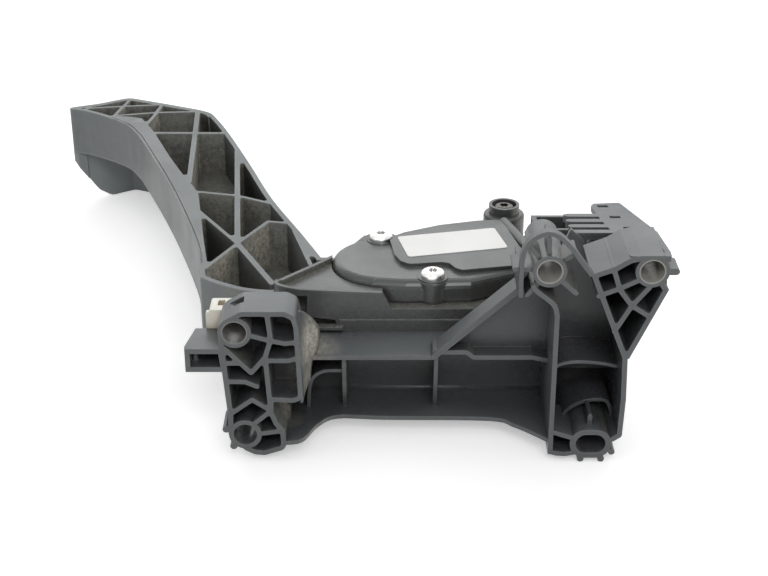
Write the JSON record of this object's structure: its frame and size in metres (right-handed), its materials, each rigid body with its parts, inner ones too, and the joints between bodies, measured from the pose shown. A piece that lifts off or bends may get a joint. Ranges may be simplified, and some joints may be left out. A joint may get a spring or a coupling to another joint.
{
  "type": "accelerator pedal",
  "caption": "Hanging accelerator pedal module with ribbed mounting bracket, lattice pedal arm, return springs and sensor cover, lying on its side.",
  "frame": {"origin": "centre of the lower left mounting bore, on the mounting plane", "axes": "+X along the mounting plane towards the connector end, +Y from the mounting plane towards the driver, +Z along the pivot axis, up as the module lies on its side"},
  "size_m": [0.2522, 0.2562, 0.0899],
  "materials": {
    "bracket_plastic": "glass-filled moulding, fine grain",
    "housing_plastic": "glass-filled moulding, fine grain",
    "cover_plastic": "glass-filled moulding, fine grain",
    "arm_plastic": "glass-filled moulding, worn",
    "label_film": "plain white label, bare",
    "seal_rubber": "moulded rubber",
    "board_laminate": "lacquered laminate",
    "contact_brass": "plated",
    "zinc_steel": "bright zinc",
    "spring_steel": "drawn wire, oiled",
    "white_acetal": "natural acetal",
    "plunger_acetal": "natural acetal",
    "friction_plastic": "filled friction compound",
    "rotor_plastic": "moulded magnet carrier"
  },
  "bodies": {
    "base": {"mounting_bracket": "bracket_plastic", "module_housing": "housing_plastic", "sensor_cover": "cover_plastic", "cover_label": "label_film", "cover_seal": "seal_rubber", "sensor_board": "board_laminate", "contact_pins": "contact_brass", "cover_screw_left": "zinc_steel", "cover_screw_front": "zinc_steel", "cover_screw_rear": "zinc_steel", "housing_screw_front": "zinc_steel", "housing_screw_rear": "zinc_steel", "pivot_bush_lower": "white_acetal", "pivot_bush_upper": "white_acetal", "friction_shoe": "friction_plastic", "idle_stop_buffer": "seal_rubber", "spring_seat": "white_acetal", "return_spring_outer": "spring_steel", "return_spring_inner": "spring_steel", "kickdown_body": "white_acetal", "kickdown_spring": "spring_steel"},
    "pedal": {"pedal_arm": "arm_plastic", "pivot_pin": "spring_steel", "sensor_rotor": "rotor_plastic", "spring_cup": "white_acetal"},
    "plunger": {"kickdown_plunger": "plunger_acetal"}
  },
  "joints": [
    {"name": "pedal_hinge", "type": "hinge", "parent": "base", "child": "pedal", "pos_m": [0.0491, 0.06, 0.0142], "axis": [0, 0, 1], "range_deg": [0, 15], "stiffness_Nm_per_rad": 18, "springref_deg": -9.17, "deforming": ["return_spring_outer", "return_spring_inner"]},
    {"name": "kickdown_slide", "type": "slide", "parent": "base", "child": "plunger", "axis": [0, -1, 0], "range_m": [0, 0.003], "stiffness_N_per_m": 6000, "springref_m": -0.003, "deforming": ["kickdown_spring"]}
  ]
}
